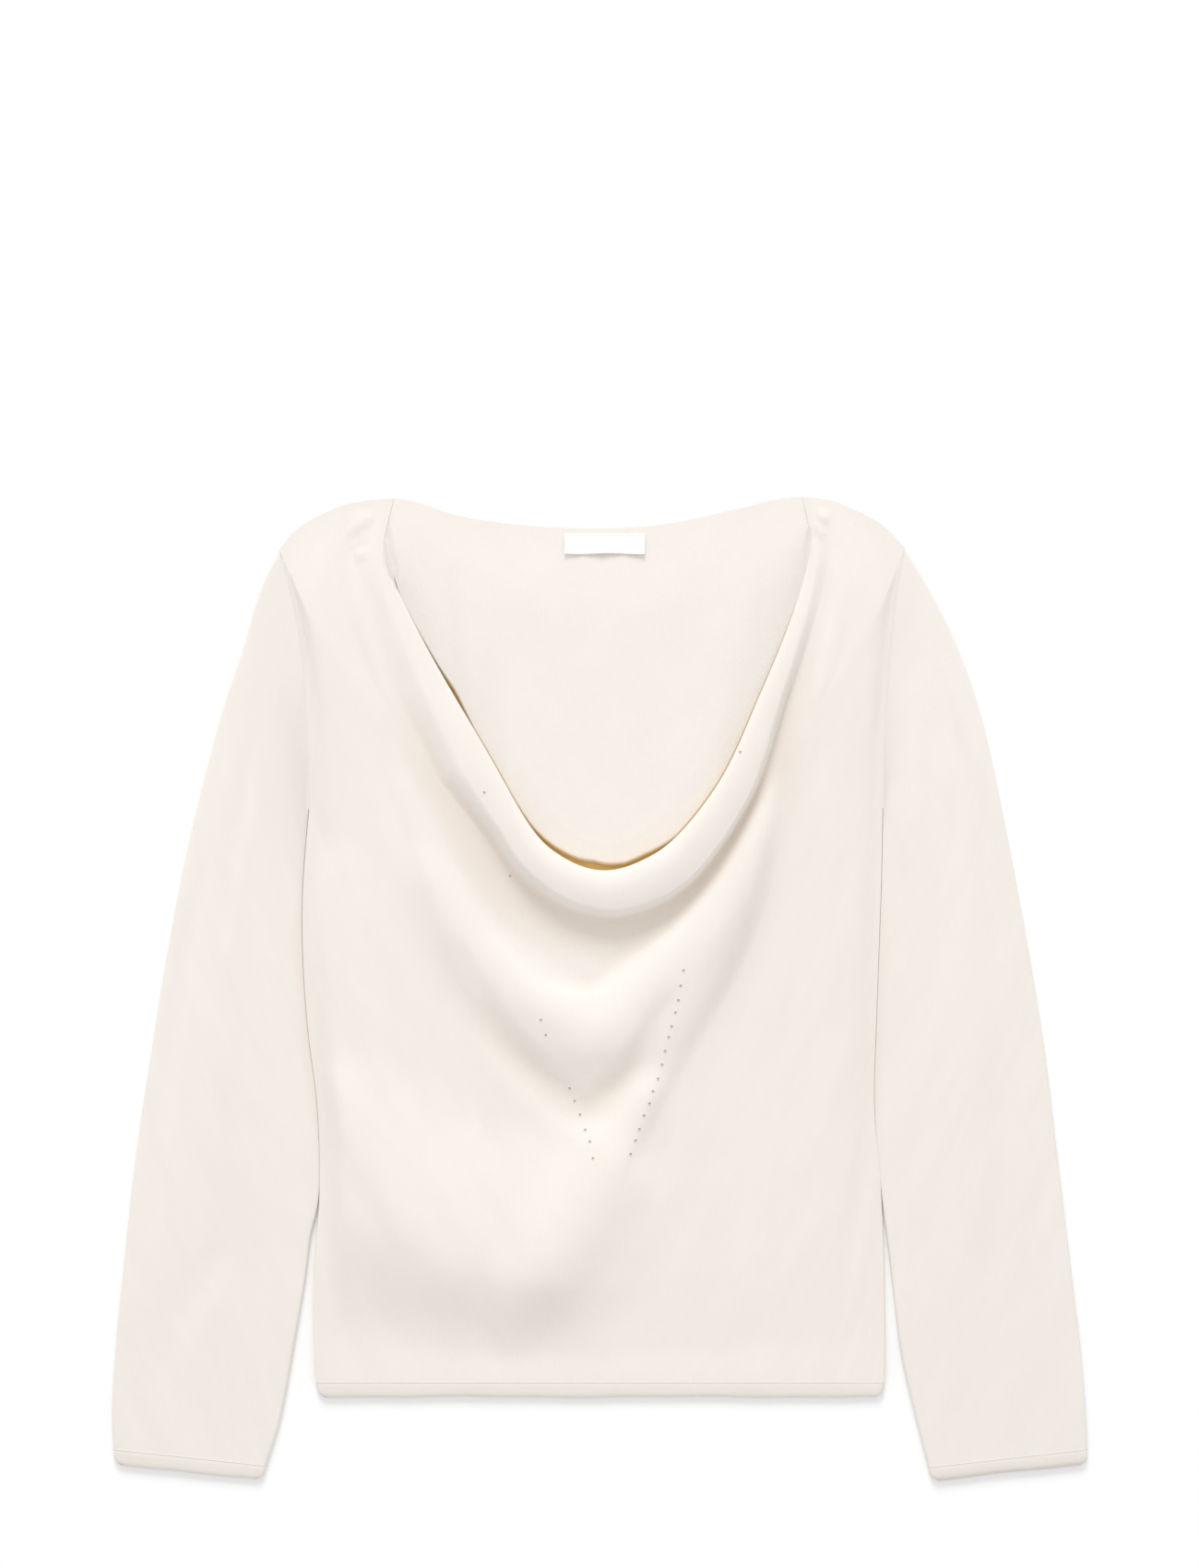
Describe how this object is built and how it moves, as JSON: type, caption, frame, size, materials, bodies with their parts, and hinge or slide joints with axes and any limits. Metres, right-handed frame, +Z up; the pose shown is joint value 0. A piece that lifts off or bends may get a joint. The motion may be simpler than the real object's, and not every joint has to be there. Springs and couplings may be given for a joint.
{
  "type": "cowl neck sweater",
  "caption": "Fine-knit long-sleeved sweater with a draped cowl neck and narrow bands at hem and cuffs, laid flat with its front up.",
  "frame": {"origin": "middle of the laid garment's outline, on the surface that it lies on", "axes": "+X to the right of the view from above, +Y from the hem to the neck, +Z up from the surface, so the front faces +Z"},
  "size_m": [0.655, 0.661, 0.0213],
  "materials": {
    "knit": "matt fine ivory jersey with a soft fuzz",
    "band": "matt ivory knitted band, a little denser",
    "label": "white woven satin, faint sheen"
  },
  "bodies": {
    "root": {"back_panel": "knit", "front_panel": "knit", "sleeve_left": "knit", "sleeve_right": "knit", "hem_band": "band", "cuff_left": "band", "cuff_right": "band", "neck_label": "label"}
  },
  "joints": []
}
